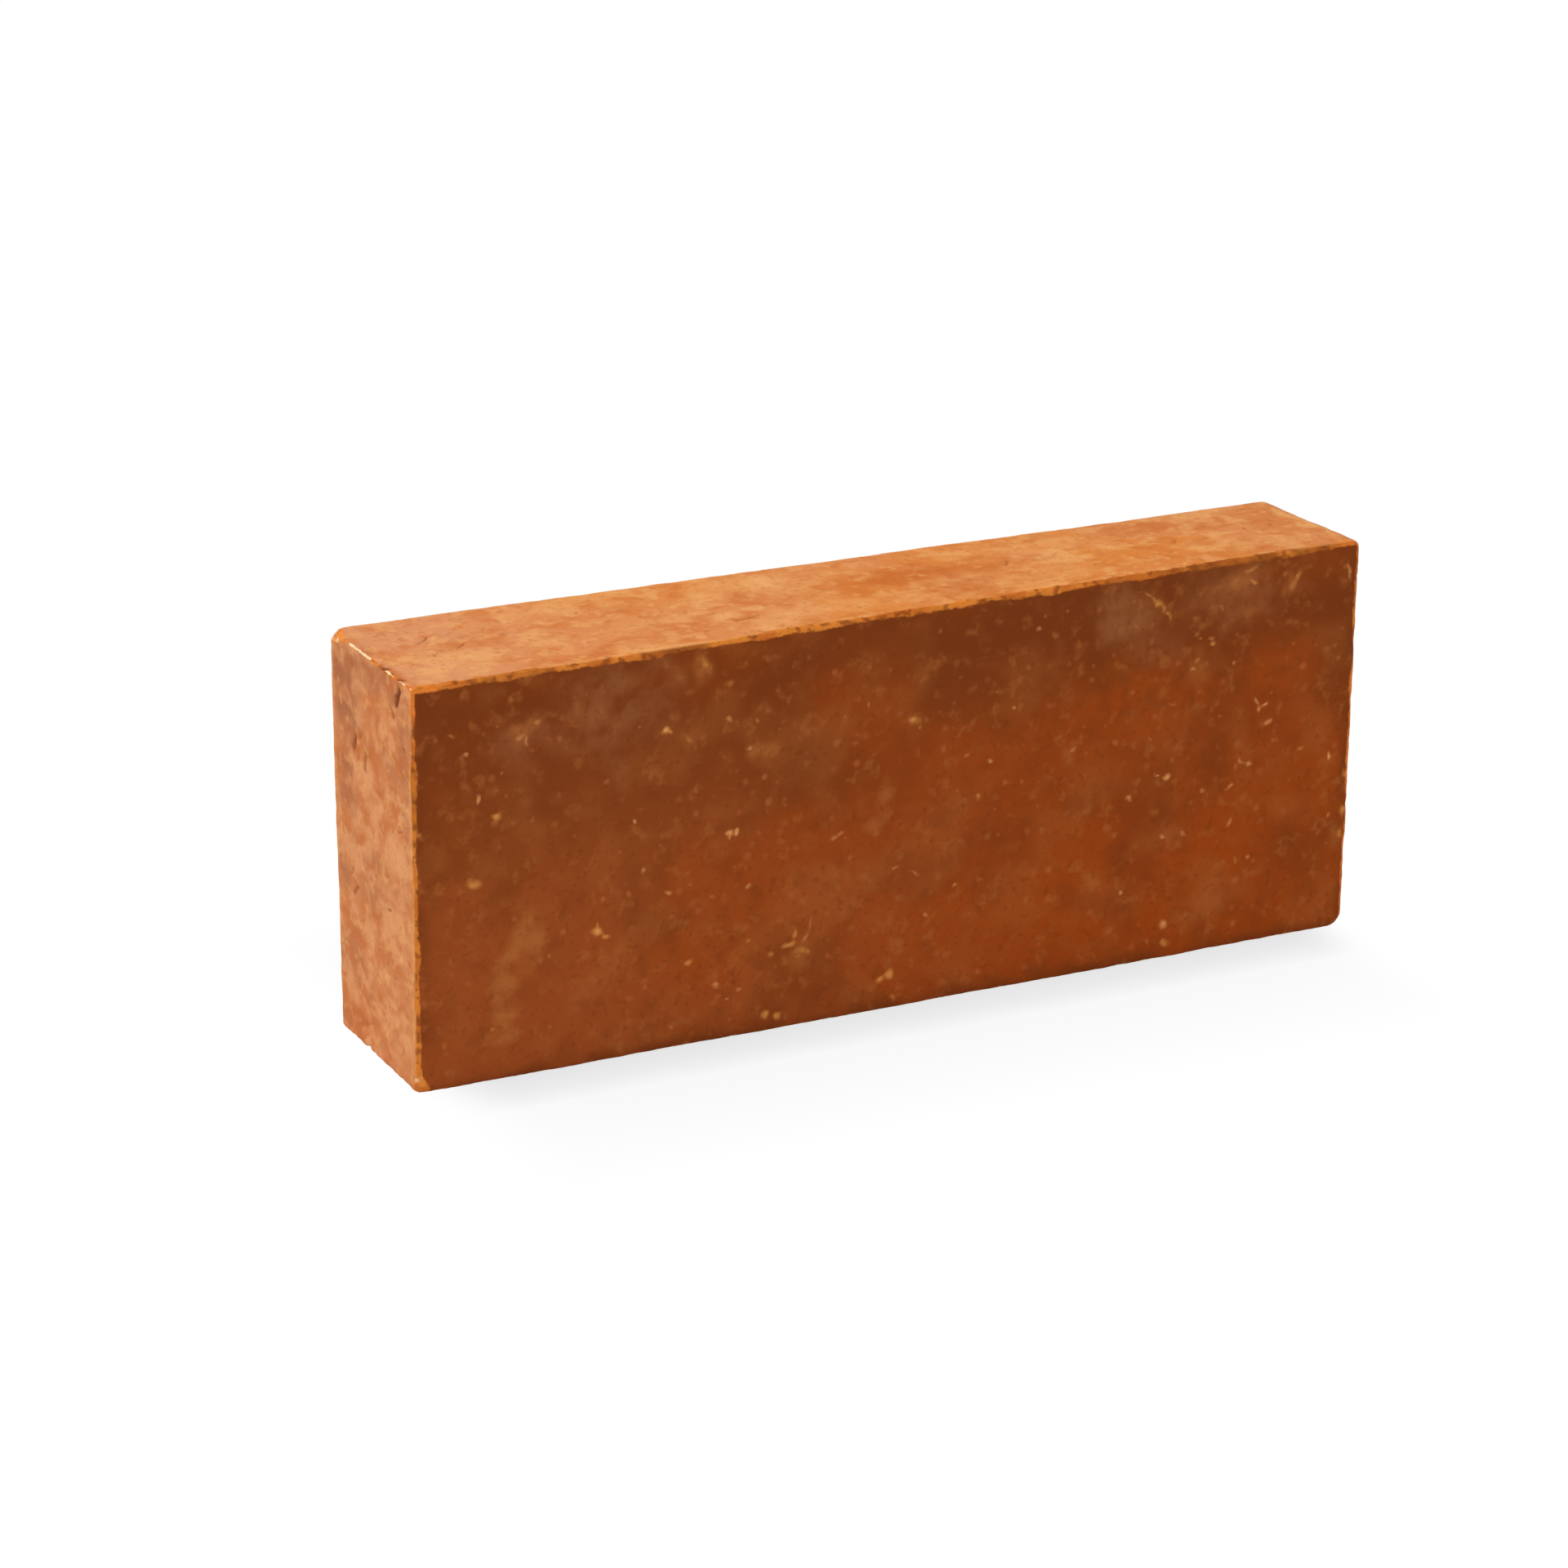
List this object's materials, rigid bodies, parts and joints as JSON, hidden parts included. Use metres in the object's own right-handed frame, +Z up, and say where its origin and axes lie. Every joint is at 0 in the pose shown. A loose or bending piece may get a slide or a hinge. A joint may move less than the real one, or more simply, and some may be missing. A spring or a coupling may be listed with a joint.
{
  "type": "clay brick",
  "caption": "Solid long thin fired clay brick with worn arrises and rounded ends, standing on its long narrow side, for walls, paving and facing.",
  "frame": {"origin": "centre of the foot, the long narrow face that the brick stands on", "axes": "+X along the length, +Y through the thickness from the front bed face to the back one, +Z up"},
  "size_m": [0.24, 0.044, 0.095],
  "materials": {
    "fired_clay": "matte"
  },
  "bodies": {
    "root": {"clay_brick": "fired_clay"}
  },
  "joints": []
}
